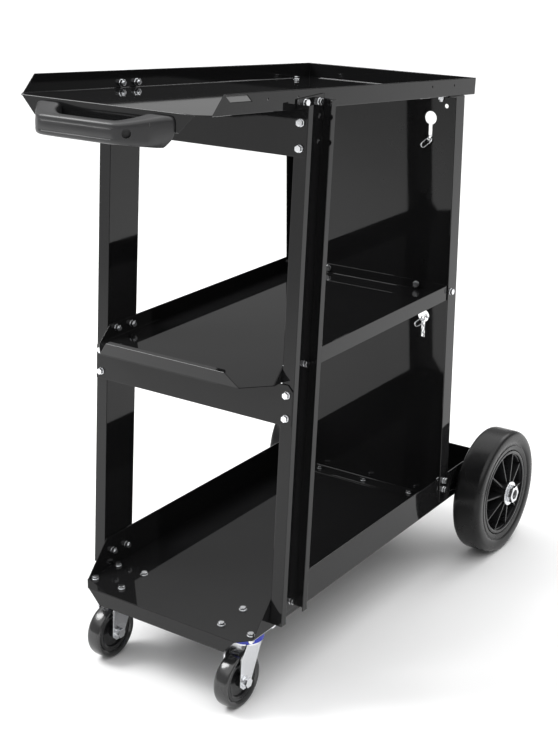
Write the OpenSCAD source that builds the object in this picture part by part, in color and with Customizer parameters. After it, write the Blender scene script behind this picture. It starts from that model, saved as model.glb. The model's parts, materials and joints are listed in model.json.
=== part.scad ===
// Three-tier rolling tool cart: pitched top tray, middle shelf, bottom tray with tank platform.
// Front of the cart is -X, the open near side is -Y, up is +Z. Millimetres.

/* [Body] */
// Half the width over the tray side flanges
half_w = 143; // [110:1:190]
// Sheet metal thickness
sheet = 1.6; // [1.0:0.1:3.0]
// Height of the bottom tray floor above the ground
bottom_z = 110.7; // [105:0.5:130]
// Height of the bottom tray side flanges
bottom_flange = 45.9; // [30:1:60]
// Height of the middle shelf floor above the ground
middle_z = 445.6; // [380:1:520]
// Height of the middle shelf side flanges
middle_flange = 20.9; // [15:1:40]
// Height of the top tray floor at its front corner
top_z = 791.9; // [780:0.5:800]
// Height of the top tray side flanges
top_flange = 21.8; // [15:1:40]
// Pitch of the top tray, front end high, in degrees
tray_pitch = 4.87; // [3:0.1:6]

/* [Posts] */
// Lean of the front posts, top to the rear, in degrees
post_lean = 4.8; // [3:0.1:6]
// Depth of the front posts along the cart
post_depth = 59; // [40:1:70]
// Width of the front post flanges
post_flange = 18.5; // [12:0.5:26]
// Length of the turned lip on the front posts
post_lip = 10; // [5:1:14]

/* [Rear wheels] */
// Radius of the rear wheels
rear_r = 100; // [90:1:105]
// Width of the rear tyres
rear_w = 47; // [30:1:60]
// Diameter of the rear axle
axle_d = 16; // [12:0.5:16]
// Number of ribs in each rear rim
rib_n = 10; // [6:1:16]

/* [Casters] */
// Radius of the front caster wheels
caster_r = 38.5; // [34:0.5:40]
// Width of the front caster wheels
caster_w = 22; // [16:1:26]
// Distance from swivel axis to wheel axle
caster_trail = 23.7; // [15:0.5:28]
// Half the spacing of the caster plate bolts
caster_bolt = 24; // [22:0.5:26]

/* [Rear panel] */
// Radius of the chain keyholes
keyhole_r = 9.7; // [8:0.1:12]
// Width of the chain keyhole slots
keyhole_slot = 5.6; // [4.5:0.1:7]
// Distance of the keyholes from the middle of the panel
keyhole_y = 92; // [86:1:98]

/* [Chains] */
// Number of hanging links in each chain
link_n = 27; // [23:2:33]
// Pitch of the chain links
link_pitch = 13.4; // [12.6:0.1:13.8]
// Slackness of the hanging chain, smaller hangs deeper
chain_a = 44.2; // [40:0.1:48]

/* [Hidden] */
$fn = 48;
fit = 0.05;
gap = 0.2;
web_y = half_w + gap;
caster_x = -259.4;
caster_y = 110;
// bottom tray: front edge, half width there, start of the full width, rear edge
tray_front = -308.2;
tray_front_y = 126.2;
tray_corner_x = -290.3;
// middle shelf: front edge, half width there, start of the full width
shelf_front = -276.2;
shelf_front_y = 112.6;
shelf_corner_x = -244.8;
// its front lip and the return along the lip's top
lip_front = -282.8;
lip_h = 18.4;
lip_y = 96.2;
return_x = -277.5;
return_h = 21;
return_y = 90.6;
// overlap between plates of one sheet
tuck = 0.4;
tray_rear = 334.5;
axle_x = 324.4;
axle_z = rear_r;
panel_x = 222.8;
panel_top = 739.4;
post_foot = 118;
post_top = 783;
post_x0 = -250.8;
post_z0 = 157.9;
pivot_x = -358.4;
tray_len = 618.7;
wheel_in = 153;
wheel_out = wheel_in + rear_w;
wheel_mid = wheel_in + rear_w / 2;
// wheel hub, its bush and ribs; rib half heights at the hub and at the rim
hub_h = 52;
hub_r = 17;
bush_r = 10;
bush_flange_t = 1.5;
web_t = 5;
rib_t = 2.4;
rib_turn = 29.5;
rib_hub_h = 25;
rib_rim_h = 18.5;
rib_end = 62.5;
// axle ends past the tyres, brackets, spacers, washers and hub nuts
axle_end = 11;
bracket_y = 122;
bracket_half = 16;
bracket_t = 3;
bracket_bolt = 11;
spacer_y = 143.15;
spacer_h = 7;
washer_y = 27.8;
washer_t = 1.8;
washer_r = 19.4;
hub_nut_h = 8;
hub_nut_r = 13.9;
plate_top = bottom_z - sheet;
plate_t = 2.5;
race_top = plate_top - plate_t;
// how far the swivel ring and the fork crown hang below the caster plate
race_drop = 7.2;
ring_top = race_top - 1.6 - race_drop;
hex_r = 4.6;
face_r = 4.7;
bolt_r = 2.5;
hole_r = 2.55;
recess_r = 5.2;
handle_screw_y = 84;
handle_screw_z = -14;
upper_key_z = 704;
lower_key_z = 405;
bar_low_z = 389.5;
bar_high_z = 722.3;
bar_h = 54;
// bolt stations on the front posts and the panel, as [x, z]
post_bottom_bolts = [[-238, 134], [-209, 131]];
post_middle_bolts = [[-210, 458.5], [-179, 456]];
post_top_bolts = [[-181.5, 783], [-151.4, 780.5]];
rear_bottom_bolts = [[210, 149.5], [210, 134.5]];
rear_middle_bolts = [[206, 456]];
// local stations of the bolts through the pitched tray floor, as [x, y]
tray_floor_bolts = [[555, -124], [555, 124]];
// local station of the panel top flange's front edge, and its depth
top_flange_x = 541;
top_flange_depth = 40.5;
link_r = 4.7;
link_half = 5;
link_wire = 2;
// offsets of the two end links: through the keyhole, and the ring on the front of the panel
through_x = 5.6;
ring_x = 11.4;
ring_y = 4.6;
ring_drop = 7;
ring_tilt = 50;
link_drop = 7.7;
chain_x = panel_x + sheet + 6.2;
bar_bolts = [10.5, 40.5];
bar_bolt_y = 9.2;
floor_bolt_x = 210.5;
shelf_bolt_z = middle_z + 7.5;
floor_bolts = [-84.5, 0, 84.5];
shelf_rear_bolts = [-79, 79];

// ---------- shared shapes ----------
module y_hole(x, z, r) {
    translate([x, 0, z])
        rotate([90, 0, 0])
            cylinder(h = 8 * half_w, r = r, center = true);
}

module z_hole(x, y, z, r) {
    translate([x, y, z])
        cylinder(h = 20, r = r, center = true);
}

// flat plate in the XZ plane, occupying y0 to y0 + t
module side_plate(points, y0, t) {
    translate([0, y0 + t, 0])
        rotate([90, 0, 0])
            linear_extrude(t)
                polygon(points);
}

// flat plate in the YZ plane, occupying x0 to x0 + t
module cross_plate(points, x0, t) {
    translate([x0, 0, 0])
        rotate([90, 0, 90])
            linear_extrude(t)
                polygon(points);
}

// hex head bolt along +Y, head seat at y = 0, head towards -Y
module side_bolt(len) {
    rotate([-90, 0, 0])
        union() {
            cylinder(h = len, r = bolt_r);
            translate([0, 0, -0.8])
                cylinder(h = 0.8, r = face_r);
            translate([0, 0, -4.8])
                cylinder(h = 4, r = hex_r, $fn = 6);
        }
}

// hex nut with washer face, seat at y = 0, body towards +Y
module side_nut() {
    rotate([-90, 0, 0])
        difference() {
            union() {
                cylinder(h = 0.8, r = face_r);
                translate([0, 0, 0.8])
                    cylinder(h = 5, r = hex_r, $fn = 6);
            }
            translate([0, 0, -1])
                cylinder(h = 8, r = bolt_r);
        }
}

// upper surface of the pitched tray frame at its front corner
module tray_frame() {
    translate([pivot_x, 0, top_z])
        rotate([0, tray_pitch, 0])
            children();
}

// frame of the leaning post, x = 0 on the front face, z along the post
module post_frame() {
    translate([post_x0, 0, post_z0])
        rotate([0, post_lean, 0])
            children();
}

// ---------- trays ----------
module bottom_tray() {
    color([0.02, 0.02, 0.02])
    difference() {
        union() {
            // floor
            translate([0, 0, bottom_z - sheet])
                linear_extrude(sheet)
                    polygon([[tray_front, -tray_front_y], [tray_corner_x, -half_w], [tray_rear, -half_w],
                        [tray_rear, half_w], [tray_corner_x, half_w], [tray_front, tray_front_y]]);
            // side flanges with slanted front ends
            for (s = [-1, 1])
                side_plate([[tray_corner_x, bottom_z - sheet], [-248.4, bottom_z + bottom_flange],
                    [tray_rear, bottom_z + bottom_flange], [tray_rear, bottom_z - sheet]],
                    s > 0 ? half_w - sheet : -half_w, sheet);
            // front apron
            cross_plate([[-tray_front_y, bottom_z], [tray_front_y, bottom_z], [107, bottom_z - 21.6],
                [-107, bottom_z - 21.6]], tray_front, sheet);
            // rear stop wall of the tank platform
            cross_plate([[-half_w, bottom_z - sheet], [half_w, bottom_z - sheet],
                [half_w, bottom_z + bottom_flange], [-half_w, bottom_z + bottom_flange]],
                tray_rear - sheet, sheet);
        }
        for (p = concat(post_bottom_bolts, rear_bottom_bolts))
            y_hole(p[0], p[1], hole_r);
        for (s = [-1, 1])
            for (i = [-1, 1])
                for (j = [-1, 1])
                    z_hole(caster_x + i * caster_bolt, s * caster_y + j * caster_bolt,
                        bottom_z, hole_r);
        for (y = floor_bolts)
            z_hole(floor_bolt_x, y, bottom_z, hole_r);
        for (s = [-1, 1])
            for (i = [-1, 1])
                z_hole(axle_x - 5, s * bracket_y + i * bracket_bolt, bottom_z, 2.6);
    }
}

// front lip of the middle shelf: leans forward from the fold, then returns up and back
module shelf_lip() {
    translate([0, 0, middle_z])
        intersection() {
            side_plate([[shelf_front, 0], [lip_front, lip_h], [return_x, return_h],
                [return_x + 0.7, return_h - 1.4], [lip_front + 2, lip_h - 0.8],
                [shelf_front + 1.7, -tuck], [shelf_front + 0.1, -tuck]],
                -shelf_front_y, 2 * shelf_front_y);
            cross_plate([[-shelf_front_y, -tuck], [shelf_front_y, -tuck], [shelf_front_y, 0],
                [lip_y, lip_h], [return_y, return_h + 1], [-return_y, return_h + 1],
                [-lip_y, lip_h], [-shelf_front_y, 0]], lip_front - 1, 20);
        }
}

module middle_shelf() {
    color([0.02, 0.02, 0.02])
    difference() {
        union() {
            translate([0, 0, middle_z - sheet])
                linear_extrude(sheet)
                    polygon([[shelf_front, -shelf_front_y], [shelf_corner_x, -half_w],
                        [panel_x - 0.1, -half_w], [panel_x - 0.1, half_w],
                        [shelf_corner_x, half_w], [shelf_front, shelf_front_y]]);
            for (s = [-1, 1])
                side_plate([[shelf_corner_x, middle_z - sheet],
                    [shelf_corner_x + 23.3, middle_z + middle_flange],
                    [panel_x - 4, middle_z + middle_flange], [panel_x - 4, middle_z - sheet]],
                    s > 0 ? half_w - sheet : -half_w, sheet);
            shelf_lip();
            // rear flange turned up against the panel
            cross_plate([[-136, middle_z - sheet], [136, middle_z - sheet],
                [136, middle_z + 14], [-136, middle_z + 14]], panel_x - 0.1 - sheet, sheet);
        }
        for (p = concat(post_middle_bolts, rear_middle_bolts))
            y_hole(p[0], p[1], hole_r);
        for (y = shelf_rear_bolts)
            translate([panel_x, y, shelf_bolt_z])
                rotate([0, 90, 0])
                    cylinder(h = 20, r = hole_r, center = true);
    }
}

module top_tray() {
    color([0.02, 0.02, 0.02])
    difference() {
        tray_frame()
            difference() {
                union() {
                    translate([0, 0, -sheet])
                        linear_extrude(sheet)
                            polygon([[-14, -130], [0, -half_w], [tray_len, -half_w],
                                [tray_len, half_w], [0, half_w], [-14, 130]]);
                    for (s = [-1, 1])
                        side_plate([[0, -sheet], [20.6, top_flange], [tray_len, top_flange],
                            [tray_len, -sheet]], s > 0 ? half_w - sheet : -half_w, sheet);
                    cross_plate([[-130, 0], [130, 0], [108, -21.9], [-108, -21.9]], -14, sheet);
                    cross_plate([[-half_w, -sheet], [half_w, -sheet], [half_w, top_flange],
                        [-half_w, top_flange]], tray_len - sheet, sheet);
                }
                // slanted slot near the front of the near side flange
                side_plate([[22.5, 19.8], [63, 19.8], [72, 12.6], [31.5, 12.6]], -half_w - 5, 10);
                // spare fixing holes in the near side flange
                for (x = [103, 165, 491, 554])
                    translate([x, -half_w, 13])
                        rotate([90, 0, 0])
                            cylinder(h = 12, r = 1.6, center = true);
                for (p = tray_floor_bolts)
                    z_hole(p[0], p[1], 0, hole_r);
                // handle screw holes in the apron
                for (s = [-1, 1])
                    translate([-14, s * handle_screw_y, handle_screw_z])
                        rotate([0, 90, 0])
                            cylinder(h = 12, r = 2.6, center = true);
            }
        for (p = post_top_bolts)
            y_hole(p[0], p[1], hole_r);
    }
}

// ---------- posts, crossbars, panel ----------
module front_post(side) {
    y_in = web_y;
    y_out = web_y + post_flange;
    color([0.02, 0.02, 0.02])
    mirror([0, side < 0 ? 1 : 0, 0])
    difference() {
        intersection() {
            post_frame()
                translate([0, 0, -120])
                    linear_extrude(900)
                        union() {
                            translate([0, y_in])
                                square([post_depth, sheet]);
                            translate([0, y_in])
                                square([sheet, post_flange]);
                            translate([post_depth - sheet, y_in])
                                square([sheet, post_flange]);
                            translate([0, y_out - sheet])
                                square([post_lip, sheet]);
                            translate([post_depth - post_lip, y_out - sheet])
                                square([post_lip, sheet]);
                        }
            union() {
                translate([-320, 100, post_foot])
                    cube([260, 100, post_top - post_foot]);
                // web tongue carrying the upper bolts
                translate([-240, web_y - 1, 700])
                    cube([150, sheet + 1.01, 89]);
            }
        }
        for (p = concat(post_bottom_bolts, post_middle_bolts, post_top_bolts))
            y_hole(p[0], p[1], hole_r);
        // bolt holes in the front flange for the crossbars
        for (z = concat([for (b = bar_bolts) bar_low_z + b], [for (b = bar_bolts) bar_high_z + b]))
            translate([post_x0 + (z - post_z0) * tan(post_lean), web_y + bar_bolt_y, z])
                rotate([0, 90 + post_lean, 0])
                    cylinder(h = 20, r = hole_r, center = true);
        // spare hole pair below the top tray
        for (z = [762.8, 732.8])
            y_hole(post_x0 + (z - post_z0) * tan(post_lean) + 50, z, 3.2);
    }
}

// one crossbar spanning the front flanges of both posts, z0 is its lower edge
module crossbar(z0) {
    reach = web_y + post_flange - 0.6;
    color([0.02, 0.02, 0.02])
    difference() {
        translate([post_x0 + (z0 - post_z0) * tan(post_lean), 0, z0])
            rotate([0, post_lean, 0])
                cross_plate([[-reach, 0], [reach, 0], [reach, bar_h - 8], [reach - 8, bar_h],
                    [-reach + 8, bar_h], [-reach, bar_h - 8]], -sheet - 0.05, sheet);
        for (s = [-1, 1])
            for (b = bar_bolts)
                translate([post_x0 + (z0 + b - post_z0) * tan(post_lean), s * (web_y + bar_bolt_y), z0 + b])
                    rotate([0, 90 + post_lean, 0])
                        cylinder(h = 20, r = hole_r, center = true);
    }
}

module keyhole(z) {
    for (s = [-1, 1]) {
        translate([panel_x, s * keyhole_y, z])
            rotate([0, 90, 0])
                cylinder(h = 12, r = keyhole_r, center = true);
        translate([panel_x - 6, s * keyhole_y - keyhole_slot / 2, z - 34])
            cube([12, keyhole_slot, 34]);
    }
}

module rear_panel() {
    out_y = web_y + sheet;
    color([0.02, 0.02, 0.02])
    difference() {
        union() {
            translate([panel_x, -out_y, bottom_z])
                cube([sheet, 2 * out_y, panel_top - bottom_z]);
            // side flanges turned forward outside the trays
            for (s = [-1, 1])
                side_plate([[199, 116], [panel_x + sheet, 112], [panel_x + sheet, 740.6],
                    [199, 742.6]], s > 0 ? web_y : -out_y, sheet);
            // top flange under the pitched tray floor
            tray_frame()
                translate([top_flange_x, -out_y + 0.1, -2 * sheet - 0.05])
                    cube([top_flange_depth, 2 * out_y - 0.2, sheet]);
            // foot flange on the bottom tray floor
            translate([199, -half_w + 3, bottom_z])
                cube([panel_x - 199 + 0.1, 2 * (half_w - 3), sheet]);
        }
        keyhole(upper_key_z);
        keyhole(lower_key_z);
        // slots that let the bottom tray side flanges run through the panel
        for (s = [-1, 1])
            translate([panel_x - 1, s * (half_w - sheet / 2) - sheet / 2 - gap, bottom_z - 1])
                cube([sheet + 2, sheet + 2 * gap, bottom_flange + 1 + gap]);
        for (y = floor_bolts)
            z_hole(floor_bolt_x, y, bottom_z, hole_r);
        for (y = shelf_rear_bolts)
            translate([panel_x, y, shelf_bolt_z])
                rotate([0, 90, 0])
                    cylinder(h = 20, r = hole_r, center = true);
        for (p = concat(rear_bottom_bolts, rear_middle_bolts))
            y_hole(p[0], p[1], hole_r);
        tray_frame()
            for (p = tray_floor_bolts)
                z_hole(p[0], p[1], 0, hole_r);
        // corner holes near the top
        for (s = [-1, 1])
            translate([panel_x, s * 117, 723])
                rotate([0, 90, 0])
                    cylinder(h = 12, r = 3.2, center = true);
    }
}

// ---------- handle ----------
module handle_plan() {
    difference() {
        polygon([[-14.1, -104], [-19, -101], [-40, -81.5], [-54, -68], [-60.5, -59.5],
            [-62.8, -48], [-63.3, -20], [-63.3, 20], [-62.8, 48], [-60.5, 59.5], [-54, 68],
            [-40, 81.5], [-19, 101], [-14.1, 104]]);
        polygon([[-13, -62], [-28, -58], [-38, -46], [-42, -26], [-42, 26], [-38, 46],
            [-28, 58], [-13, 62]]);
    }
}

module handle() {
    color([0.08, 0.08, 0.085])
    tray_frame()
        difference() {
            translate([0, 0, -40])
                linear_extrude(36)
                    handle_plan();
            // the grip is lower than the arms, and shallower
            rotate([90, 0, 0])
                translate([0, 0, -110])
                    linear_extrude(220)
                        polygon([[-70, -12.4], [-58, -12.4], [-32, -3.9], [-32, 0], [-70, 0]]);
            rotate([90, 0, 0])
                translate([0, 0, -110])
                    linear_extrude(220)
                        polygon([[-70, -36.8], [-52, -36.8], [-34, -40.1], [-34, -44], [-70, -44]]);
            for (s = [-1, 1]) {
                // sloping lower corner of each arm
                cross_plate([[s * 90.4, -40.1], [s * 104.1, -26.2], [s * 110, -26.2],
                    [s * 110, -44], [s * 90.4, -44]], -70, 60);
                // blind round recess square to the slanted face
                translate([-54, s * 68, -24])
                    rotate([0, 0, -45 * s])
                        rotate([0, 90, 0])
                            cylinder(h = 16, r = recess_r, center = true);
                translate([-38, s * handle_screw_y, handle_screw_z])
                    rotate([0, 90, 0])
                        cylinder(h = 30, r = bolt_r);
            }
        }
}

// screws put in from behind the tray apron
module handle_screws() {
    color([0.3, 0.3, 0.3])
    tray_frame()
        for (s = [-1, 1])
            translate([-36, s * handle_screw_y, handle_screw_z])
                rotate([0, 90, 0])
                    union() {
                        cylinder(h = 24, r = bolt_r - 0.1);
                        translate([0, 0, 23.8])
                            cylinder(h = 3.6, r = 4.6, $fn = 6);
                    }
}

// ---------- rear axle and wheels ----------
module axle() {
    color([0.02, 0.02, 0.02])
    translate([axle_x, 0, axle_z])
        rotate([90, 0, 0])
            cylinder(h = 2 * (wheel_out + axle_end), r = axle_d / 2, center = true);
}

module axle_brackets() {
    color([0.02, 0.02, 0.02])
    for (s = [-1, 1])
        difference() {
            union() {
                // outer and inner hanger plates under the platform
                for (y = [s * (bracket_y + bracket_half), s * (bracket_y - bracket_half)])
                    side_plate([[axle_x - 22, plate_top - 0.1], [axle_x + 9, plate_top - 0.1],
                        [axle_x + 9, axle_z - 4], [axle_x + 4, axle_z - 11],
                        [axle_x - 4, axle_z - 11], [axle_x - 9, axle_z - 4]],
                        y - bracket_t / 2, bracket_t);
                // top web joining the plates
                translate([axle_x - 22, s * bracket_y - 17.5, plate_top - 2.1])
                    cube([31, 35, 2]);
            }
            y_hole(axle_x, axle_z, axle_d / 2);
            for (i = [-1, 1])
                z_hole(axle_x - 5, s * bracket_y + i * bracket_bolt, plate_top, 2.6);
        }
}

module axle_bracket_screws() {
    color([0.75, 0.75, 0.75])
    for (s = [-1, 1])
        for (i = [-1, 1])
            translate([axle_x - 5, s * bracket_y + i * bracket_bolt, bottom_z])
                union() {
                    cylinder(h = 2.4, r = 4.6);
                    // the shank ends above the axle
                    translate([0, 0, -2.5])
                        cylinder(h = 2.6, r = bolt_r);
                }
}

// tyre with rounded shoulders, axis along Y, centred
module tyre_shape() {
    rotate([90, 0, 0])
        rotate_extrude($fn = 96)
            polygon([[68.3, -19], [72, -22], [84, -23.5], [93, -21.5], [98, -17], [100, -11],
                [100, 11], [98, 17], [93, 21.5], [84, 23.5], [72, 22], [68.3, 19]]);
}

module rim_shape() {
    rotate([90, 0, 0])
        difference() {
            union() {
                rotate_extrude($fn = 96)
                    polygon([[62, -21], [68, -21], [68, 21], [62, 21], [60, 12], [60, -12]]);
                // centre web
                cylinder(h = web_t, r = 61, center = true);
                cylinder(h = hub_h, r = hub_r, center = true);
                for (i = [0 : rib_n - 1])
                    rotate([0, 0, rib_turn + i * 360 / rib_n])
                        side_plate([[hub_r - 1, -rib_hub_h], [rib_end, -rib_rim_h],
                            [rib_end, rib_rim_h], [hub_r - 1, rib_hub_h]], -rib_t / 2, rib_t);
            }
            cylinder(h = hub_h + 8, r = bush_r, center = true);
        }
}

module bush_shape() {
    rotate([90, 0, 0])
        difference() {
            union() {
                cylinder(h = hub_h, r = bush_r, center = true);
                for (k = [-1, 1])
                    translate([0, 0, k * (hub_h / 2 + bush_flange_t / 2)])
                        cylinder(h = bush_flange_t, r = 13.5, center = true);
            }
            cylinder(h = hub_h + 8, r = axle_d / 2 + fit, center = true);
        }
}

module rear_wheel_at(s) {
    translate([axle_x, s * wheel_mid, axle_z])
        children();
}

module left_tyre() {
    color([0.07, 0.07, 0.07])
        rear_wheel_at(1) tyre_shape();
}

module right_tyre() {
    color([0.07, 0.07, 0.07])
        rear_wheel_at(-1) tyre_shape();
}

module left_rim() {
    color([0.12, 0.12, 0.12])
        rear_wheel_at(1) rim_shape();
}

module right_rim() {
    color([0.12, 0.12, 0.12])
        rear_wheel_at(-1) rim_shape();
}

module left_bush() {
    color([0.6, 0.6, 0.6])
        rear_wheel_at(1) bush_shape();
}

module right_bush() {
    color([0.6, 0.6, 0.6])
        rear_wheel_at(-1) bush_shape();
}

// washers either side of each rear wheel
module axle_washers() {
    color([0.75, 0.75, 0.75])
    for (s = [-1, 1])
        for (k = [-1, 1])
            translate([axle_x, s * (wheel_mid + k * (washer_y + washer_t / 2)), axle_z])
                rotate([90, 0, 0])
                    difference() {
                        cylinder(h = washer_t, r = washer_r, center = true);
                        cylinder(h = 2 * washer_t, r = axle_d / 2, center = true);
                    }
}

// spacer tubes between hanger brackets and inner washers
module axle_spacers() {
    color([0.7, 0.7, 0.7])
    for (s = [-1, 1])
        translate([axle_x, s * spacer_y, axle_z])
            rotate([90, 0, 0])
                difference() {
                    cylinder(h = spacer_h, r = axle_d / 2 + 1, center = true);
                    cylinder(h = 2 * spacer_h, r = axle_d / 2, center = true);
                }
}

// thin hex nuts at the axle ends, with the axle end sunk a little inside
module axle_nuts() {
    color([0.75, 0.75, 0.75])
    for (s = [-1, 1])
        translate([axle_x, s * (wheel_mid + washer_y + washer_t + 0.1), axle_z])
            rotate([-90 * s, 0, 0])
                difference() {
                    cylinder(h = hub_nut_h, r = hub_nut_r, $fn = 6);
                    translate([0, 0, -1])
                        cylinder(h = hub_nut_h + 2, r = axle_d / 2);
                }
}

// ---------- casters ----------
module caster_at(s) {
    translate([caster_x, s * caster_y, 0])
        children();
}

module plate_shape() {
    difference() {
        union() {
            translate([-31, -31, race_top])
                cube([62, 62, plate_t]);
            // upper race pressed down from the plate
            translate([0, 0, race_top - 4 - race_drop])
                cylinder(h = 4.1 + race_drop, r = 19);
            // fixed swivel pin
            translate([0, 0, race_top - 12 - race_drop])
                cylinder(h = 12 + race_drop, r = 4.2);
            translate([0, 0, race_top - 15 - race_drop])
                cylinder(h = 3, r = 8);
        }
        for (i = [-1, 1])
            for (j = [-1, 1])
                z_hole(i * caster_bolt, j * caster_bolt, race_top, hole_r);
    }
}

// swivel race ring carried by the fork
module ring_shape() {
    difference() {
        translate([0, 0, ring_top - 6.8])
            cylinder(h = 6.8, r = 23);
        translate([0, 0, ring_top - 2.6])
            cylinder(h = 6, r = 19.4);
        translate([0, 0, ring_top - 8.4])
            cylinder(h = 8, r = 15);
    }
}

// fork: round crown and two cheeks
module fork_shape() {
    cheek_in = caster_w / 2 + 1.6;
    difference() {
        union() {
            translate([0, 0, race_top - 11.4 - race_drop])
                cylinder(h = 3, r = 21);
            for (k = [-1, 1])
                side_plate([[-19, race_top - 8.6 - race_drop], [18, race_top - 8.6 - race_drop],
                    [10, race_top - 30],
                    [-caster_trail + 12, caster_r - 4], [-caster_trail + 5, caster_r - 10],
                    [-caster_trail - 5, caster_r - 10], [-caster_trail - 12, caster_r - 3],
                    [-caster_trail - 8, race_top - 33]],
                    k > 0 ? cheek_in : -cheek_in - 2.2, 2.2);
        }
        translate([0, 0, race_top - 14 - race_drop])
            cylinder(h = 10, r = 4.25);
        translate([-caster_trail, 0, caster_r])
            rotate([90, 0, 0])
                cylinder(h = 80, r = 4, center = true);
    }
}

module caster_tread_shape() {
    translate([-caster_trail, 0, caster_r])
        rotate([90, 0, 0])
            rotate_extrude($fn = 72)
                polygon([[30, -8], [34, -11], [36.5, -10.4], [38.2, -7], [38.5, 0], [38.2, 7],
                    [36.5, 10.4], [34, 11], [30, 8]]);
}

module caster_core_shape() {
    translate([-caster_trail, 0, caster_r])
        rotate([90, 0, 0])
            difference() {
                union() {
                    rotate_extrude($fn = 72)
                        polygon([[26, -9], [30, -8], [30, 8], [26, 9]]);
                    cylinder(h = 4, r = 27, center = true);
                    cylinder(h = 22, r = 9, center = true);
                }
                cylinder(h = 40, r = 4 + fit, center = true);
            }
}

module caster_axle_shape() {
    translate([-caster_trail, 0, caster_r])
        rotate([90, 0, 0])
            union() {
                cylinder(h = 38, r = 4, center = true);
                translate([0, 0, 14.85])
                    cylinder(h = 1, r = 8);
                translate([0, 0, 15.85])
                    cylinder(h = 5, r = 7.2, $fn = 6);
            }
}

module caster_nut_shape() {
    translate([-caster_trail, 14.85, caster_r])
        rotate([-90, 0, 0])
            difference() {
                union() {
                    cylinder(h = 1, r = 8);
                    translate([0, 0, 1])
                        cylinder(h = 5, r = 7.2, $fn = 6);
                }
                translate([0, 0, -1])
                    cylinder(h = 9, r = 4);
            }
}

module left_caster_plate() {
    color([0.8, 0.8, 0.8])
        caster_at(1) plate_shape();
}

module right_caster_plate() {
    color([0.8, 0.8, 0.8])
        caster_at(-1) plate_shape();
}

module left_swivel_ring() {
    color([0.05, 0.1, 0.8])
        caster_at(1) ring_shape();
}

module right_swivel_ring() {
    color([0.05, 0.1, 0.8])
        caster_at(-1) ring_shape();
}

module left_fork() {
    color([0.85, 0.85, 0.85])
        caster_at(1) fork_shape();
}

module right_fork() {
    color([0.85, 0.85, 0.85])
        caster_at(-1) fork_shape();
}

module left_caster_tread() {
    color([0.1, 0.1, 0.1])
        caster_at(1) caster_tread_shape();
}

module right_caster_tread() {
    color([0.1, 0.1, 0.1])
        caster_at(-1) caster_tread_shape();
}

module left_caster_core() {
    color([0.15, 0.15, 0.15])
        caster_at(1) caster_core_shape();
}

module right_caster_core() {
    color([0.15, 0.15, 0.15])
        caster_at(-1) caster_core_shape();
}

module left_caster_axle() {
    color([0.8, 0.8, 0.8])
        caster_at(1) caster_axle_shape();
}

module right_caster_axle() {
    color([0.8, 0.8, 0.8])
        caster_at(-1) caster_axle_shape();
}

module left_caster_nut() {
    color([0.8, 0.8, 0.8])
        caster_at(1) caster_nut_shape();
}

module right_caster_nut() {
    color([0.8, 0.8, 0.8])
        caster_at(-1) caster_nut_shape();
}

module caster_bolts() {
    color([0.85, 0.85, 0.85])
    for (s = [-1, 1])
        for (i = [-1, 1])
            for (j = [-1, 1])
                translate([caster_x + i * caster_bolt, s * caster_y + j * caster_bolt, bottom_z])
                    union() {
                        cylinder(h = 0.8, r = 5.4);
                        translate([0, 0, 0.8])
                            cylinder(h = 3.2, r = hex_r, $fn = 6);
                        translate([0, 0, -11])
                            cylinder(h = 11.1, r = bolt_r);
                    }
}

module caster_nuts() {
    color([0.85, 0.85, 0.85])
    for (s = [-1, 1])
        for (i = [-1, 1])
            for (j = [-1, 1])
                translate([caster_x + i * caster_bolt, s * caster_y + j * caster_bolt,
                    race_top - 5])
                    difference() {
                        cylinder(h = 5, r = hex_r, $fn = 6);
                        translate([0, 0, -1])
                            cylinder(h = 7, r = bolt_r);
                    }
}

// ---------- fasteners ----------
// bolts through webs and flanges, heads outside, for a list of stations
module flange_bolts(list) {
    color([0.85, 0.85, 0.85])
    for (s = [-1, 1])
        for (p = list)
            mirror([0, s < 0 ? 1 : 0, 0])
                translate([p[0], web_y + sheet, p[1]])
                    rotate([0, 0, 180])
                        side_bolt(11);
}

module flange_nuts(list) {
    color([0.85, 0.85, 0.85])
    for (s = [-1, 1])
        for (p = list)
            mirror([0, s < 0 ? 1 : 0, 0])
                translate([p[0], half_w - sheet, p[1]])
                    rotate([0, 0, 180])
                        side_nut();
}

module bottom_bolts() {
    flange_bolts(concat(post_bottom_bolts, rear_bottom_bolts));
}

module bottom_nuts() {
    flange_nuts(concat(post_bottom_bolts, rear_bottom_bolts));
}

module middle_bolts() {
    flange_bolts(concat(post_middle_bolts, rear_middle_bolts));
}

module middle_nuts() {
    flange_nuts(concat(post_middle_bolts, rear_middle_bolts));
}

module top_bolts() {
    flange_bolts(post_top_bolts);
}

module top_nuts() {
    flange_nuts(post_top_bolts);
}

module tray_rear_bolts() {
    color([0.85, 0.85, 0.85])
    tray_frame()
        for (p = tray_floor_bolts)
            translate([p[0], p[1], 0])
                union() {
                    cylinder(h = 0.8, r = face_r);
                    translate([0, 0, 0.8])
                        cylinder(h = 3.6, r = hex_r, $fn = 6);
                    translate([0, 0, -11])
                        cylinder(h = 11.1, r = bolt_r);
                }
}

module tray_rear_nuts() {
    color([0.85, 0.85, 0.85])
    tray_frame()
        for (p = tray_floor_bolts)
            translate([p[0], p[1], -2 * sheet - 5.1])
                difference() {
                    cylinder(h = 5, r = hex_r, $fn = 6);
                    translate([0, 0, -1])
                        cylinder(h = 8, r = bolt_r);
                }
}

// stations of the crossbar fasteners
module at_bar_bolts() {
    for (s = [-1, 1])
        for (z0 = [bar_low_z, bar_high_z])
            for (b = bar_bolts)
                translate([post_x0 + (z0 + b - post_z0) * tan(post_lean), s * (web_y + bar_bolt_y), z0 + b])
                    rotate([0, 90 + post_lean, 0])
                        children();
}

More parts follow.
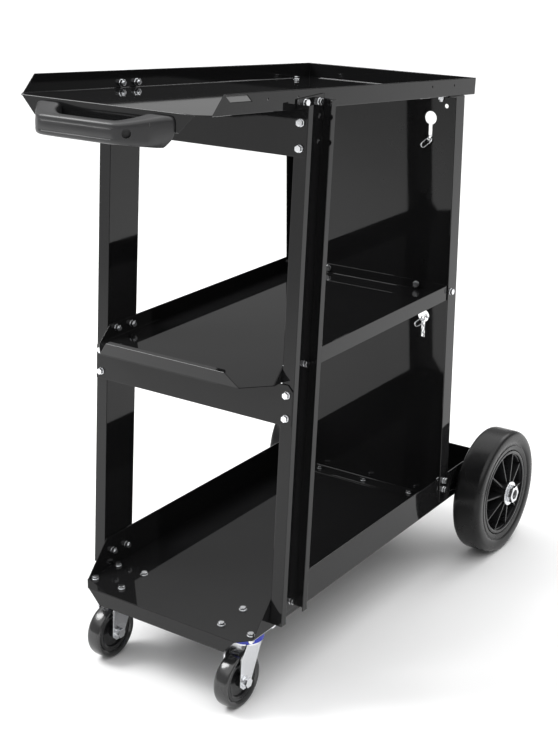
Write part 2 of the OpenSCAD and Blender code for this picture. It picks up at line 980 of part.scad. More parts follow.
module crossbar_bolts() {
    color([0.85, 0.85, 0.85])
    at_bar_bolts()
        union() {
            translate([0, 0, -sheet - 0.05])
                cylinder(h = 12, r = bolt_r);
            translate([0, 0, -sheet - 0.85])
                cylinder(h = 0.8, r = face_r);
            translate([0, 0, -sheet - 4.85])
                cylinder(h = 4, r = hex_r, $fn = 6);
        }
}

module crossbar_nuts() {
    color([0.85, 0.85, 0.85])
    at_bar_bolts()
        translate([0, 0, sheet + 0.02])
            difference() {
                cylinder(h = 5, r = hex_r, $fn = 6);
                translate([0, 0, -1])
                    cylinder(h = 8, r = bolt_r);
            }
}

module panel_bolts() {
    color([0.85, 0.85, 0.85])
    union() {
        for (y = floor_bolts)
            translate([floor_bolt_x, y, bottom_z + sheet])
                union() {
                    cylinder(h = 0.8, r = face_r);
                    translate([0, 0, 0.8])
                        cylinder(h = 3.4, r = hex_r, $fn = 6);
                    translate([0, 0, -12])
                        cylinder(h = 12.1, r = bolt_r);
                }
        for (y = shelf_rear_bolts)
            translate([panel_x - 0.1 - sheet, y, shelf_bolt_z])
                rotate([0, 90, 0])
                    union() {
                        translate([0, 0, -0.8])
                            cylinder(h = 0.8, r = face_r);
                        translate([0, 0, -4.2])
                            cylinder(h = 3.4, r = hex_r, $fn = 6);
                        cylinder(h = 11, r = bolt_r);
                    }
    }
}

module panel_nuts() {
    color([0.85, 0.85, 0.85])
    union() {
        for (y = floor_bolts)
            translate([floor_bolt_x, y, plate_top - 5])
                difference() {
                    cylinder(h = 5, r = hex_r, $fn = 6);
                    translate([0, 0, -1])
                        cylinder(h = 7, r = bolt_r);
                }
        for (y = shelf_rear_bolts)
            translate([panel_x + sheet, y, shelf_bolt_z])
                rotate([0, 90, 0])
                    difference() {
                        cylinder(h = 5, r = hex_r, $fn = 6);
                        translate([0, 0, -1])
                            cylinder(h = 7, r = bolt_r);
                    }
    }
}

// ---------- chains ----------
// flat oval link, long axis along Z, lying in the XZ plane
module link() {
    rotate([90, 0, 0])
        translate([0, 0, -link_wire / 2])
            linear_extrude(link_wire)
                difference() {
                    union() {
                        square([2 * link_r, 2 * link_half], center = true);
                        for (k = [-1, 1])
                            translate([0, k * link_half])
                                circle(r = link_r, $fn = 24);
                    }
                    union() {
                        square([2 * (link_r - link_wire), 2 * link_half], center = true);
                        for (k = [-1, 1])
                            translate([0, k * link_half])
                                circle(r = link_r - link_wire, $fn = 24);
                    }
                }
}

// chain hanging behind the panel as a catenary, with its ends hooked through two keyholes;
// z is the height at which the end links pass through the panel
module chain(z) {
    s_end = (link_n - 1) / 2 * link_pitch;
    z_end = sqrt(chain_a * chain_a + s_end * s_end) - chain_a;
    color([0.8, 0.8, 0.8])
    union() {
        for (i = [0 : link_n - 1]) {
            s = i * link_pitch - s_end;
            y = chain_a * sign(s) * ln(abs(s) / chain_a + sqrt(s * s / chain_a / chain_a + 1));
            drop = z_end - (sqrt(chain_a * chain_a + s * s) - chain_a);
            translate([chain_x, y, z - link_drop - drop])
                rotate([atan(s / chain_a) - 90, 0, 0])
                    rotate([0, 0, i % 2 == 0 ? 90 : 0])
                        link();
        }
        for (k = [-1, 1]) {
            // link lying through the slot
            translate([chain_x - through_x, k * keyhole_y, z])
                rotate([0, 90, 0])
                    link();
            // link resting on the front of the panel
            translate([chain_x - ring_x, k * (keyhole_y - ring_y), z - ring_drop])
                rotate([0, 0, 90])
                    rotate([0, k * ring_tilt, 0])
                        link();
        }
    }
}

module upper_chain() {
    chain(upper_key_z - 29);
}

module lower_chain() {
    chain(lower_key_z - 4);
}

module front_left_post() {
    front_post(1);
}

module front_right_post() {
    front_post(-1);
}

module middle_crossbar() {
    crossbar(bar_low_z);
}

module top_crossbar() {
    crossbar(bar_high_z);
}

bottom_tray();
middle_shelf();
top_tray();
front_left_post();
front_right_post();
middle_crossbar();
top_crossbar();
rear_panel();
handle();
handle_screws();
axle();
axle_brackets();
axle_bracket_screws();
axle_spacers();
axle_washers();
axle_nuts();
left_tyre();
right_tyre();
left_rim();
right_rim();
left_bush();
right_bush();
left_caster_plate();
right_caster_plate();
left_swivel_ring();
right_swivel_ring();
left_fork();
right_fork();
left_caster_tread();
right_caster_tread();
left_caster_core();
right_caster_core();
left_caster_axle();
right_caster_axle();
left_caster_nut();
right_caster_nut();
caster_bolts();
caster_nuts();
bottom_bolts();
bottom_nuts();
middle_bolts();
middle_nuts();
top_bolts();
top_nuts();
tray_rear_bolts();
tray_rear_nuts();
crossbar_bolts();
crossbar_nuts();
panel_bolts();
panel_nuts();
upper_chain();
lower_chain();
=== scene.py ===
import bpy, bmesh, json, math
import numpy as np
from mathutils import Vector, Matrix

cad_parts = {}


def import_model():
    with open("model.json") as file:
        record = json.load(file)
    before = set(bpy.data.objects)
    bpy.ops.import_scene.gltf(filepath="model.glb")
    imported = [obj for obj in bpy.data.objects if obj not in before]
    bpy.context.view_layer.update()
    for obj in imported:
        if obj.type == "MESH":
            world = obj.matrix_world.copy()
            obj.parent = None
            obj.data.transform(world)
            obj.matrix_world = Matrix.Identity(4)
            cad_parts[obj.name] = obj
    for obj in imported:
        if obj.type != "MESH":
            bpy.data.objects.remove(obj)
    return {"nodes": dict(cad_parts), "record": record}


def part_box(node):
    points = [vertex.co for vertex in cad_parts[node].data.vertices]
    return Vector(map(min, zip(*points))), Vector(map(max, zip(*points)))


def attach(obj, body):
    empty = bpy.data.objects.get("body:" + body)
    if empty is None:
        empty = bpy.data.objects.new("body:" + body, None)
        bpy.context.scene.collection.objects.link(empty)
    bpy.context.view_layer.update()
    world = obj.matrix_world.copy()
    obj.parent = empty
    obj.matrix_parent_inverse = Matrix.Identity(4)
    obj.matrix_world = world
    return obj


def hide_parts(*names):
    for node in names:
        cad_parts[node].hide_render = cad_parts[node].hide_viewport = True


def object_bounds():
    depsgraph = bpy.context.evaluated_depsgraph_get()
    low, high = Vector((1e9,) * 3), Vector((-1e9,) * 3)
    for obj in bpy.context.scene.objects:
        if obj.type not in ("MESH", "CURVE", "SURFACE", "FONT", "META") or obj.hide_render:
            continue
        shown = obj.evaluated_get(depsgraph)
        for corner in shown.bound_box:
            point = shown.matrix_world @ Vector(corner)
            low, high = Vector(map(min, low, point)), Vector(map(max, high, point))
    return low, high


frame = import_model()
cad_low, cad_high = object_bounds()
scene = bpy.context.scene
nodes = frame["nodes"]


# ---------- camera, light and floor ----------
CAMERA_AZIMUTH = math.radians(-55.08)
CAMERA_ELEVATION = math.radians(19.97)
CAMERA_TARGET = Vector((-0.0263, 0.0012, 0.3685))
CAMERA_DISTANCE = 1.9776
CAMERA_LENS = 67.21
SENSOR_WIDTH = 36.0
LIGHT_TARGET = Vector((0, 0, 0.4))
SOFT_BOX_SIZE = 1.2
SOFT_BOXES = (("left_box", (-1.1, 1.75, 2.5), 58), ("rear_box", (2.4, -0.65, 2.1), 12))
# strength of the world light, as it rises from the horizon to the ceiling
SKY_RISE = (("From Min", 0.42), ("From Max", 0.72), ("To Min", 0.34), ("To Max", 1.75))
FLOOR_HALF = 80


def make_camera():
    """The camera stands off the near front corner, a little above the top tray."""
    away = Vector((math.sin(CAMERA_AZIMUTH) * math.cos(CAMERA_ELEVATION),
                   -math.cos(CAMERA_AZIMUTH) * math.cos(CAMERA_ELEVATION),
                   math.sin(CAMERA_ELEVATION)))
    data = bpy.data.cameras.new("camera")
    data.sensor_width = SENSOR_WIDTH
    data.lens = CAMERA_LENS
    camera = bpy.data.objects.new("camera", data)
    scene.collection.objects.link(camera)
    camera.location = CAMERA_TARGET + away * CAMERA_DISTANCE
    camera.rotation_euler = (-away).to_track_quat("-Z", "Y").to_euler()
    scene.camera = camera


def make_light():
    """A bright ceiling over a dimmer horizon, and two soft boxes that draw out the fold lines."""
    world = bpy.data.worlds.new("studio")
    world.use_nodes = True
    tree = world.node_tree
    coords = tree.nodes.new("ShaderNodeTexCoord")
    split = tree.nodes.new("ShaderNodeSeparateXYZ")
    tree.links.new(coords.outputs["Generated"], split.inputs["Vector"])
    ramp = tree.nodes.new("ShaderNodeMapRange")
    ramp.interpolation_type = "SMOOTHSTEP"
    for name, value in SKY_RISE:
        ramp.inputs[name].default_value = value
    tree.links.new(split.outputs["Z"], ramp.inputs["Value"])
    background = tree.nodes["Background"]
    background.inputs["Color"].default_value = (1, 1, 1, 1)
    tree.links.new(ramp.outputs["Result"], background.inputs["Strength"])
    scene.world = world
    for name, place, watts in SOFT_BOXES:
        data = bpy.data.lights.new(name, "AREA")
        data.shape = "SQUARE"
        data.size = SOFT_BOX_SIZE
        data.energy = watts
        light = bpy.data.objects.new(name, data)
        light.location = place
        aim = LIGHT_TARGET - light.location
        light.rotation_euler = aim.to_track_quat("-Z", "Y").to_euler()
        scene.collection.objects.link(light)


def make_floor():
    """A plain pale floor that reaches the horizon."""
    mesh = bpy.data.meshes.new("floor")
    corners = [(-1, -1), (1, -1), (1, 1), (-1, 1)]
    mesh.from_pydata([(FLOOR_HALF * x, FLOOR_HALF * y, cad_low[2]) for x, y in corners],
                     [], [(0, 1, 2, 3)])
    floor = bpy.data.objects.new("floor", mesh)
    scene.collection.objects.link(floor)
    floor.data.materials.append(material("studio_floor", (0.9, 0.9, 0.9), 0.9, tone=0.01, tone_scale=3))


# ---------- materials ----------
BUMP_DEPTH = 0.0002
SPREAD_SCALE = 18.0
SMOOTHEST = 0.02
# the band of the noise that a change of tone or roughness is stretched over
NOISE_LOW = 0.3
NOISE_HIGH = 0.7


def material(name, colour, rough, metallic=0.0, spread=0.0, bump=0.0, bump_scale=400.0,
             tone=0.0, tone_scale=30.0, ior=1.5):
    """Procedural material: noise drives the colour's tone, the roughness and the bump."""
    mat = bpy.data.materials.new(name)
    mat.use_nodes = True
    tree = mat.node_tree
    shader = tree.nodes["Principled BSDF"]
    shader.inputs["Base Color"].default_value = (*colour, 1)
    shader.inputs["Roughness"].default_value = rough
    shader.inputs["Metallic"].default_value = metallic
    shader.inputs["IOR"].default_value = ior
    coords = tree.nodes.new("ShaderNodeTexCoord")

    def noise(scale, detail=4.0):
        field = tree.nodes.new("ShaderNodeTexNoise")
        field.inputs["Scale"].default_value = scale
        field.inputs["Detail"].default_value = detail
        tree.links.new(coords.outputs["Object"], field.inputs["Vector"])
        return field.outputs["Fac"]

    def remap(source, low, high):
        ramp = tree.nodes.new("ShaderNodeMapRange")
        ramp.inputs["From Min"].default_value = NOISE_LOW
        ramp.inputs["From Max"].default_value = NOISE_HIGH
        ramp.inputs["To Min"].default_value = low
        ramp.inputs["To Max"].default_value = high
        tree.links.new(source, ramp.inputs["Value"])
        return ramp.outputs["Result"]

    if tone:
        mix = tree.nodes.new("ShaderNodeMix")
        mix.data_type = "RGBA"
        mix.inputs[6].default_value = (*[c * (1 - tone) for c in colour], 1)
        mix.inputs[7].default_value = (*[min(1, c * (1 + tone)) for c in colour], 1)
        tree.links.new(remap(noise(tone_scale), 0, 1), mix.inputs[0])
        tree.links.new(mix.outputs[2], shader.inputs["Base Color"])
    if spread:
        tree.links.new(remap(noise(SPREAD_SCALE), max(SMOOTHEST, rough - spread), rough + spread),
                       shader.inputs["Roughness"])
    if bump:
        relief = tree.nodes.new("ShaderNodeBump")
        relief.inputs["Strength"].default_value = bump
        relief.inputs["Distance"].default_value = BUMP_DEPTH
        tree.links.new(noise(bump_scale, detail=2.0), relief.inputs["Height"])
        tree.links.new(relief.outputs["Normal"], shader.inputs["Normal"])
    return mat


MATS = {
    "black_powder_coat": material("black_powder_coat", (0.008, 0.008, 0.0083), 0.04, spread=0.014,
                                  bump=0.02, bump_scale=520, tone=0.06, ior=1.36),
    "handle_plastic": material("handle_plastic", (0.019, 0.019, 0.02), 0.38, spread=0.06,
                               bump=0.28, bump_scale=1500, tone=0.12),
    "tyre_rubber": material("tyre_rubber", (0.007, 0.007, 0.0073), 0.28, spread=0.07,
                            bump=0.22, bump_scale=1100, tone=0.2, ior=1.37),
    "rim_plastic": material("rim_plastic", (0.012, 0.012, 0.013), 0.3, spread=0.06,
                            bump=0.12, bump_scale=1300, tone=0.15),
    "bush_plastic": material("bush_plastic", (0.05, 0.05, 0.05), 0.4, spread=0.05, tone=0.1),
    "blue_ring": material("blue_ring", (0.012, 0.03, 0.42), 0.25, spread=0.05, tone=0.12),
    "caster_tread": material("caster_tread", (0.022, 0.022, 0.0225), 0.17, spread=0.05,
                             bump=0.15, bump_scale=1200, tone=0.15, ior=1.6),
    "caster_core": material("caster_core", (0.012, 0.012, 0.013), 0.24, spread=0.06,
                            bump=0.1, bump_scale=1200, tone=0.15),
    "fork_zinc": material("fork_zinc", (0.78, 0.79, 0.81), 0.24, 1.0, spread=0.09,
                          bump=0.1, bump_scale=700, tone=0.06),
    "chain_zinc": material("chain_zinc", (0.74, 0.75, 0.77), 0.22, 1.0, spread=0.08, tone=0.07,
                           tone_scale=90),
    "fastener_zinc": material("fastener_zinc", (0.82, 0.83, 0.85), 0.2, 1.0, spread=0.08,
                              bump=0.08, bump_scale=900, tone=0.05, tone_scale=120),
    "axle_steel": material("axle_steel", (0.62, 0.62, 0.63), 0.28, 1.0, spread=0.08, tone=0.08),
    "dark_screw": material("dark_screw", (0.1, 0.1, 0.1), 0.35, 0.9, spread=0.06, tone=0.1),
}


# ---------- mesh helpers ----------
MERGE_GAP = 1e-6


def add_piece(name, bm, slot, body, replaced, smooth_angle=32.0):
    """Turn a bmesh into a smooth piece that rides on a body and stands for CAD nodes."""
    mesh = bpy.data.meshes.new(name)
    bmesh.ops.remove_doubles(bm, verts=bm.verts, dist=MERGE_GAP)
    bmesh.ops.recalc_face_normals(bm, faces=bm.faces)
    bm.to_mesh(mesh)
    bm.free()
    obj = bpy.data.objects.new(name, mesh)
    scene.collection.objects.link(obj)
    mesh.materials.append(MATS[slot])
    for polygon in mesh.polygons:
        polygon.use_smooth = True
    mesh.set_sharp_from_angle(angle=math.radians(smooth_angle))
    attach(obj, body)
    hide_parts(*replaced)
    return obj


def bridge(bm, first, second):
    """Join two rings that have the same number of corners."""
    count = len(first)
    for j in range(count):
        k = (j + 1) % count
        bm.faces.new((first[j], first[k], second[k], second[j]))


def lathe(bm, profile, centre, steps):
    """Turn a closed (radius, y) outline round the Y axis through centre."""
    rings = []
    for i in range(steps):
        a = 2 * math.pi * i / steps
        rings.append([bm.verts.new(centre + Vector((r * math.cos(a), y, r * math.sin(a))))
                      for r, y in profile])
    for i in range(steps):
        bridge(bm, rings[i], rings[(i + 1) % steps])


def both_sides(half):
    """A closed outline, from the half of it that lies on the +Y side."""
    return half + [(r, -y) for r, y in reversed(half)]


def middle(node):
    """Centre and size of a CAD node's box."""
    low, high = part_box(node)
    return (low + high) / 2, high - low


# ---------- rear wheels ----------
TYRE_STEPS = 144
WEB_STEPS = 96
HUB_STEPS = 64


def rear_tyre(side):
    """Solid tyre with a bead, a groove round its side wall and a rounded tread."""
    node = side + "_tyre"
    centre, size = middle(node)
    r, h = size[0] / 2, size[1] / 2
    half = [(0.683 * r, 0.80 * h), (0.70 * r, 0.88 * h), (0.735 * r, 0.915 * h),
            (0.765 * r, 0.925 * h), (0.775 * r, 0.895 * h), (0.79 * r, 0.895 * h),
            (0.80 * r, 0.94 * h), (0.84 * r, 0.985 * h), (0.88 * r, h), (0.915 * r, 0.995 * h),
            (0.942 * r, 0.975 * h), (0.963 * r, 0.935 * h), (0.98 * r, 0.87 * h),
            (0.991 * r, 0.79 * h), (0.998 * r, 0.69 * h), (r, 0.58 * h), (r, 0.14 * h)]
    bm = bmesh.new()
    lathe(bm, both_sides(half), centre, TYRE_STEPS)
    add_piece(node + "_rubber", bm, "tyre_rubber", side + "_rear_wheel", [node])


RIB_COUNT = 10
RIB_TURN = math.radians(29.5)
# half thickness of a rib at the web and at its outer edge
RIB_HALF_ROOT = 0.0016
RIB_HALF_TIP = 0.0011
# half width of the barrel
RIM_HALF = 0.021


def rim_rib(bm, centre, turn, outline):
    """One rib, turned about the wheel's axis, from an outline of radius, y and half thickness."""
    sides = [[bm.verts.new(centre + turn @ Vector((a, b, face * half))) for a, b, half in outline]
             for face in (-1, 1)]
    bm.faces.new(sides[0])
    bm.faces.new(list(reversed(sides[1])))
    count = len(outline)
    for j in range(count):
        k = (j + 1) % count
        bm.faces.new((sides[0][j], sides[1][j], sides[1][k], sides[0][k]))


def rear_rim(side):
    """Barrel with a stepped double lip, dished web, hub and thin radial ribs."""
    node = side + "_rim"
    centre, size = middle(node)
    r, hub_h = size[0] / 2, size[1] / 2
    h = RIM_HALF
    bm = bmesh.new()
    lip = [(0.90 * r, 0.10 * h), (0.895 * r, 0.62 * h), (0.912 * r, 0.80 * h), (0.93 * r, 0.82 * h),
           (0.935 * r, 0.97 * h), (0.95 * r, h), (0.985 * r, h), (r, 0.97 * h), (r, 0.05 * h)]
    lathe(bm, both_sides(lip), centre, TYRE_STEPS)
    web = [(0.22 * r, 0.13 * h), (0.5 * r, 0.10 * h), (0.905 * r, 0.12 * h)]
    lathe(bm, both_sides(web), centre, WEB_STEPS)
    hub = [(0.148 * r, 0.99 * hub_h), (0.225 * r, 0.99 * hub_h), (0.24 * r, 0.95 * hub_h),
           (0.25 * r, 0.7 * h), (0.258 * r, 0.2 * h)]
    lathe(bm, both_sides(hub), centre, HUB_STEPS)
    rib = [(0.24 * r, 0.1 * h, RIB_HALF_ROOT), (0.24 * r, 0.95 * hub_h, RIB_HALF_TIP),
           (0.932 * r, 0.88 * h, RIB_HALF_TIP), (0.932 * r, 0.1 * h, RIB_HALF_ROOT)]
    for i in range(RIB_COUNT):
        turn = Matrix.Rotation(-RIB_TURN - 2 * math.pi * i / RIB_COUNT, 4, "Y")
        for way in (-1, 1):
            rim_rib(bm, centre, turn, [(a, way * b, half) for a, b, half in rib])
    add_piece(node + "_moulded", bm, "rim_plastic", side + "_rear_wheel", [node])


# ---------- caster wheels ----------
CASTER_TREAD_STEPS = 112
CASTER_CORE_STEPS = 96


def caster_tread(side):
    """Tread with a rounded crown and sides that draw in towards the core."""
    node = side + "_caster_tread"
    centre, size = middle(node)
    r, h = size[0] / 2, size[1] / 2
    half = [(0.78 * r, 0.73 * h), (0.84 * r, 0.9 * h), (0.885 * r, 0.985 * h), (0.92 * r, 0.985 * h),
            (0.95 * r, 0.93 * h), (0.972 * r, 0.82 * h), (0.988 * r, 0.66 * h),
            (0.997 * r, 0.4 * h), (r, 0.12 * h)]
    bm = bmesh.new()
    lathe(bm, both_sides(half), centre, CASTER_TREAD_STEPS)
    add_piece(node + "_rubber", bm, "caster_tread", side + "_caster_wheel", [node])


def caster_core(side):
    """Bored hub, dished web and the seat of the tread. Radii are in metres."""
    node = side + "_caster_core"
    centre, size = middle(node)
    hub = size[1] / 2
    bm = bmesh.new()
    wall = [(0.0041, hub), (0.0078, hub), (0.0088, 0.93 * hub), (0.0094, 0.40 * hub),
            (0.0125, 0.30 * hub), (0.0205, 0.28 * hub), (0.0222, 0.36 * hub), (0.0232, 0.66 * hub),
            (0.0250, 0.74 * hub), (0.0262, 0.80 * hub), (0.0296, 0.72 * hub)]
    lathe(bm, both_sides(wall), centre, CASTER_CORE_STEPS)
    add_piece(node + "_moulded", bm, "caster_core", side + "_caster_wheel", [node])


# ---------- handle ----------
TRAY_PITCH = math.radians(4.87)
# rings along the handle, corners round each, and points on each span of its outlines
HANDLE_STEPS = 150
HANDLE_CORNERS = 120
SPAN_POINTS = 24
# power that squares the section
SECTION_POWER = 0.36
# taper from the arms to the grip: where it starts, its length, and how far the top and the bottom
# come in
TAPER_START = 0.020
TAPER_LENGTH = 0.030
TOP_DROP = 0.0086
BOTTOM_RISE = 0.0030
# ribs: pitch and depth as parts of the section's half height and half width, half length of the
# ribbed stretch and the length over which it fades, how far out the ribbed face lies, and its band
GRIP_RIB_PITCH = 0.16
GRIP_RIB_DEPTH = 0.11
GRIP_HALF = 0.056
GRIP_FADE = 0.004
GRIP_FACE = 0.55
GRIP_BAND = (-0.75, 0.45)
# cut of the arms' lower corners: its depth, where it starts and its length along y, and the level
# of the section that it lies under
ARM_CORNER = 0.017
CORNER_START = 0.084
CORNER_LENGTH = 0.016
CORNER_LEVEL = -0.2
# recesses: x and y of the centre, drop below the top and number of sides, then the radii and the
# depths of the cutter at its outer end, which stands clear of the arm, and at its bottom
RECESS_PLACE = (-0.054, 0.068)
RECESS_DROP = 0.020
RECESS_SIDES = 40
RECESS_RADII = (0.0052, 0.0050)
RECESS_DEPTHS = (-0.02, 0.0072)
# sine of the 45 degrees between the recesses and the X axis, in plan
DIAGONAL = 0.7071
# x of the backs of the arms, then outlines of the plan from the back of an arm to the middle of
# the grip, as x and y in the frame of the pitched tray
HANDLE_BACK = -0.0141
OUTER = [(-0.0141, 0.103), (-0.019, 0.1005), (-0.040, 0.0812), (-0.054, 0.0677),
         (-0.0603, 0.0590), (-0.0625, 0.0480), (-0.0631, 0.020), (-0.0631, 0.0)]
INNER = [(-0.0141, 0.064), (-0.0185, 0.0625), (-0.029, 0.0575), (-0.037, 0.048), (-0.0405, 0.036),
         (-0.0418, 0.016), (-0.042, 0.0)]


def smooth_path(points, count):
    """Catmull-Rom curve through points, mirrored in Y, resampled to count points."""
    full = points + [(x, -y) for x, y in reversed(points[:-1])]
    p = np.array([full[0]] + full + [full[-1]])
    out = []
    for i in range(1, len(p) - 2):
        a, b, c, d = p[i - 1:i + 3]
        for t in np.linspace(0, 1, SPAN_POINTS, endpoint=False):
            out.append(0.5 * (2 * b + (c - a) * t + (2 * a - 5 * b + 4 * c - d) * t * t
                              + (3 * b - a - 3 * c + d) * t ** 3))
    out = np.array(out + [p[-2]])
    run = np.concatenate([[0], np.cumsum(np.linalg.norm(np.diff(out, axis=0), axis=1))])
    want = np.linspace(0, run[-1], count)
    return np.stack([np.interp(want, run, out[:, k]) for k in range(2)], 1)


def handle_ring(outer, inner, top, bottom):
    """Corners of the section between two points of the outlines, in the pitched tray's frame."""
    mid, half = (outer + inner) / 2, (outer - inner) / 2
    taper = np.clip((-mid[0] - TAPER_START) / TAPER_LENGTH, 0, 1)
    high, low = top - TOP_DROP * taper, bottom + BOTTOM_RISE * taper
    tuck = np.clip((abs(outer[1]) - CORNER_START) / CORNER_LENGTH, 0, 1)
    grip = np.clip((GRIP_HALF - abs(outer[1])) / GRIP_FADE, 0, 1)
    ring = []
    # u runs outwards and v upwards across the section, each from -1 to 1
    for i in range(HANDLE_CORNERS):
        t = 2 * math.pi * i / HANDLE_CORNERS
        u, v = (math.copysign(abs(w) ** SECTION_POWER, w) for w in (math.cos(t), math.sin(t)))
        if u > GRIP_FACE and GRIP_BAND[0] < v < GRIP_BAND[1]:
            groove = max(0.0, math.cos(math.pi * (v / GRIP_RIB_PITCH % 2 - 1))) ** 2
            u -= GRIP_RIB_DEPTH * grip * groove
        x, y = mid + half * u
        y -= math.copysign(ARM_CORNER * tuck * max(0, CORNER_LEVEL - v) * max(0, u), y)
        ring.append((x, y, (high + low) / 2 + (high - low) / 2 * v))
    return ring


def handle():
    """Moulded D-grip: a rounded section swept between an outer and an inner outline, with ribs."""
    points = np.array([v.co for v in nodes["handle"].data.vertices])
    c, s = math.cos(TRAY_PITCH), math.sin(TRAY_PITCH)
    turned = np.stack([points[:, 0] * c - points[:, 2] * s, points[:, 1],
                       points[:, 0] * s + points[:, 2] * c], 1)
    low, high = turned.min(0), turned.max(0)
    back, top, bottom = high[0], high[2], low[2]

    def world(x, y, z):
        x += back - HANDLE_BACK
        return Vector((x * c + z * s, y, -x * s + z * c))

    outer, inner = smooth_path(OUTER, HANDLE_STEPS), smooth_path(INNER, HANDLE_STEPS)
    bm = bmesh.new()
    rings = [[bm.verts.new(world(*corner)) for corner in handle_ring(a, b, top, bottom)]
             for a, b in zip(outer, inner)]
    for a, b in zip(rings, rings[1:]):
        bridge(bm, a, b)
    bm.faces.new(rings[0])
    bm.faces.new(list(reversed(rings[-1])))
    piece = add_piece("handle_moulded", bm, "handle_plastic", "cart", ["handle"], smooth_angle=50)
    sink_recesses(piece, world, top)


def sink_recesses(piece, world, top):
    """Cut the two blind round recesses square to the slanted faces of the arms."""
    cutter = bmesh.new()
    for side in (-1, 1):
        across = Vector((DIAGONAL, DIAGONAL * side))
        axis = Vector((DIAGONAL, -DIAGONAL * side))
        rings = []
        for depth, r in zip(RECESS_DEPTHS, RECESS_RADII):
            ring = []
            for i in range(RECESS_SIDES):
                a = 2 * math.pi * i / RECESS_SIDES
                flat = (Vector((RECESS_PLACE[0], RECESS_PLACE[1] * side)) + axis * depth
                        + across * r * math.cos(a))
                height = top - RECESS_DROP + r * math.sin(a)
                ring.append(cutter.verts.new(world(flat.x, flat.y, height)))
            rings.append(ring)
        bridge(cutter, *rings)
        cutter.faces.new(rings[0])
        cutter.faces.new(rings[1])
    bmesh.ops.recalc_face_normals(cutter, faces=cutter.faces)
    mesh = bpy.data.meshes.new("recess")
    cutter.to_mesh(mesh)
    cutter.free()
    tool = bpy.data.objects.new("recess", mesh)
    scene.collection.objects.link(tool)
    cut = piece.modifiers.new("recess", "BOOLEAN")
    cut.operation = "DIFFERENCE"
    cut.solver = "EXACT"
    cut.object = tool
    bpy.context.view_layer.update()
    result = bpy.data.meshes.new_from_object(
        piece.evaluated_get(bpy.context.evaluated_depsgraph_get()))
    piece.modifiers.clear()
    piece.data = result
    bpy.data.objects.remove(tool)


# ---------- chains ----------
MICROMETRES = 1e6
# steps in each half circle of a link's wire, and corners round the wire
LINK_BEND_STEPS = 8
WIRE_CORNERS = 10


def islands(obj):
    """The separate solids of a mesh, each as an array of its corner points."""
    co = np.array([v.co for v in obj.data.vertices])
    keys = {}
    places = np.round(co * MICROMETRES).astype(int).tolist()
    label = [keys.setdefault(tuple(place), len(keys)) for place in places]
    parent = list(range(len(keys)))

    def root(i):
        while parent[i] != i:
            parent[i] = parent[parent[i]]
            i = parent[i]
        return i

    for e in obj.data.edges:
        a, b = root(label[e.vertices[0]]), root(label[e.vertices[1]])
        if a != b:
            parent[a] = b
    groups = {}
    for i, k in enumerate(label):
        groups.setdefault(root(k), []).append(co[i])
    return [np.array(g) for g in groups.values()]


def round_link(bm, points):
    """A round-wire oval link in the place and size of one of the CAD chain's square-wire links."""
    unique = np.unique(np.round(points, 7), axis=0)
    centre = unique.mean(0)
    _, _, axes = np.linalg.svd(unique - centre, full_matrices=False)
    spans = [np.ptp((unique - centre) @ a) for a in axes]
    order = np.argsort(spans)[::-1]
    long_axis, wide_axis, flat_axis = (Vector(axes[i]) for i in order)
    length, width, wire = (spans[i] for i in order)
    bend = (width - wire) / 2
    straight = (length - width) / 2
    path = []
    for sign in (1, -1):
        for i in range(LINK_BEND_STEPS + 1):
            a = math.pi * i / LINK_BEND_STEPS
            path.append((sign * bend * math.cos(a), sign * (straight + bend * math.sin(a))))
    rings = []
    count = len(path)
    for i, (w, l) in enumerate(path):
        w0, l0 = path[i - 1]
        w1, l1 = path[(i + 1) % count]
        along = (wide_axis * (w1 - w0) + long_axis * (l1 - l0)).normalized()
        out = along.cross(flat_axis).normalized()
        here = Vector(centre) + wide_axis * w + long_axis * l
        rings.append([bm.verts.new(here + (out * math.cos(t) + flat_axis * math.sin(t)) * wire / 2)
                      for t in (2 * math.pi * j / WIRE_CORNERS for j in range(WIRE_CORNERS))])
    for i in range(count):
        bridge(bm, rings[i], rings[(i + 1) % count])


def chain(node):
    """One hanging chain, link by link."""
    bm = bmesh.new()
    for points in islands(nodes[node]):
        round_link(bm, points)
    add_piece(node + "_links", bm, "chain_zinc", "cart", [node], smooth_angle=60)


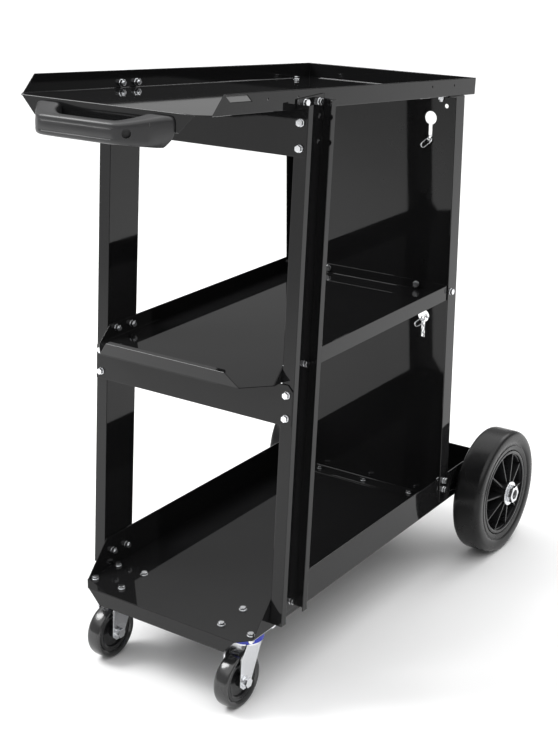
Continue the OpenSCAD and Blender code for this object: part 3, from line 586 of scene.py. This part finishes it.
# ---------- carried-over CAD nodes ----------
def edge_marker(sharp, length):
    """A node group that gives bevel weight 1 to edges sharper and longer than the limits given."""
    group = bpy.data.node_groups.new("mark_edges", "GeometryNodeTree")
    group.interface.new_socket("Geometry", in_out="INPUT", socket_type="NodeSocketGeometry")
    group.interface.new_socket("Geometry", in_out="OUTPUT", socket_type="NodeSocketGeometry")

    def node(kind, **settings):
        made = group.nodes.new(kind)
        for key, value in settings.items():
            setattr(made, key, value)
        return made

    def above(source, limit):
        test = node("ShaderNodeMath", operation="GREATER_THAN")
        group.links.new(source, test.inputs[0])
        test.inputs[1].default_value = limit
        return test.outputs[0]

    ends = node("GeometryNodeInputMeshEdgeVertices")
    span = node("ShaderNodeVectorMath", operation="DISTANCE")
    group.links.new(ends.outputs["Position 1"], span.inputs[0])
    group.links.new(ends.outputs["Position 2"], span.inputs[1])
    angle = node("GeometryNodeInputMeshEdgeAngle")
    both = node("ShaderNodeMath", operation="MULTIPLY")
    group.links.new(above(angle.outputs["Unsigned Angle"], sharp), both.inputs[0])
    group.links.new(above(span.outputs["Value"], length), both.inputs[1])
    store = node("GeometryNodeStoreNamedAttribute", data_type="FLOAT", domain="EDGE")
    store.inputs["Name"].default_value = "bevel_weight_edge"
    group.links.new(both.outputs[0], store.inputs["Value"])
    group.links.new(node("NodeGroupInput").outputs[0], store.inputs["Geometry"])
    group.links.new(store.outputs["Geometry"], node("NodeGroupOutput").inputs[0])
    return group


SHARP_EDGE = math.radians(35)
SHORTEST_BEVEL = 0.0015
MARK_EDGES = edge_marker(SHARP_EDGE, SHORTEST_BEVEL)
WELD_GAP = 0.000005
# radius given to the long edges of the nodes in each material slot
EDGE_RADIUS = {"black_powder_coat": 0.0007, "fork_zinc": 0.0005, "fastener_zinc": 0.0004}


def dress_cad():
    """Give every shown CAD node its finish, and sheets, forks and fasteners a small edge radius."""
    slots = {s["node"]: s["material_slot"] for s in frame["record"]["subparts"]}
    for name, obj in nodes.items():
        if obj.hide_render:
            continue
        slot = slots[name]
        obj.data.materials.clear()
        obj.data.materials.append(MATS[slot])
        if slot in EDGE_RADIUS:
            for polygon in obj.data.polygons:
                polygon.use_smooth = False
            weld = obj.modifiers.new("weld", "WELD")
            weld.merge_threshold = WELD_GAP
            bevel_marks = obj.modifiers.new("bevel_marks", "NODES")
            bevel_marks.node_group = MARK_EDGES
            bevel = obj.modifiers.new("edges", "BEVEL")
            bevel.limit_method = "WEIGHT"
            bevel.width = EDGE_RADIUS[slot]
            bevel.segments = 2
            bevel.use_clamp_overlap = slot != "black_powder_coat"


make_camera()
make_light()
make_floor()
for side in ("left", "right"):
    rear_tyre(side)
    rear_rim(side)
    caster_tread(side)
    caster_core(side)
handle()
for node in ("upper_chain", "lower_chain"):
    chain(node)
dress_cad()
scene.view_settings.view_transform = "Standard"
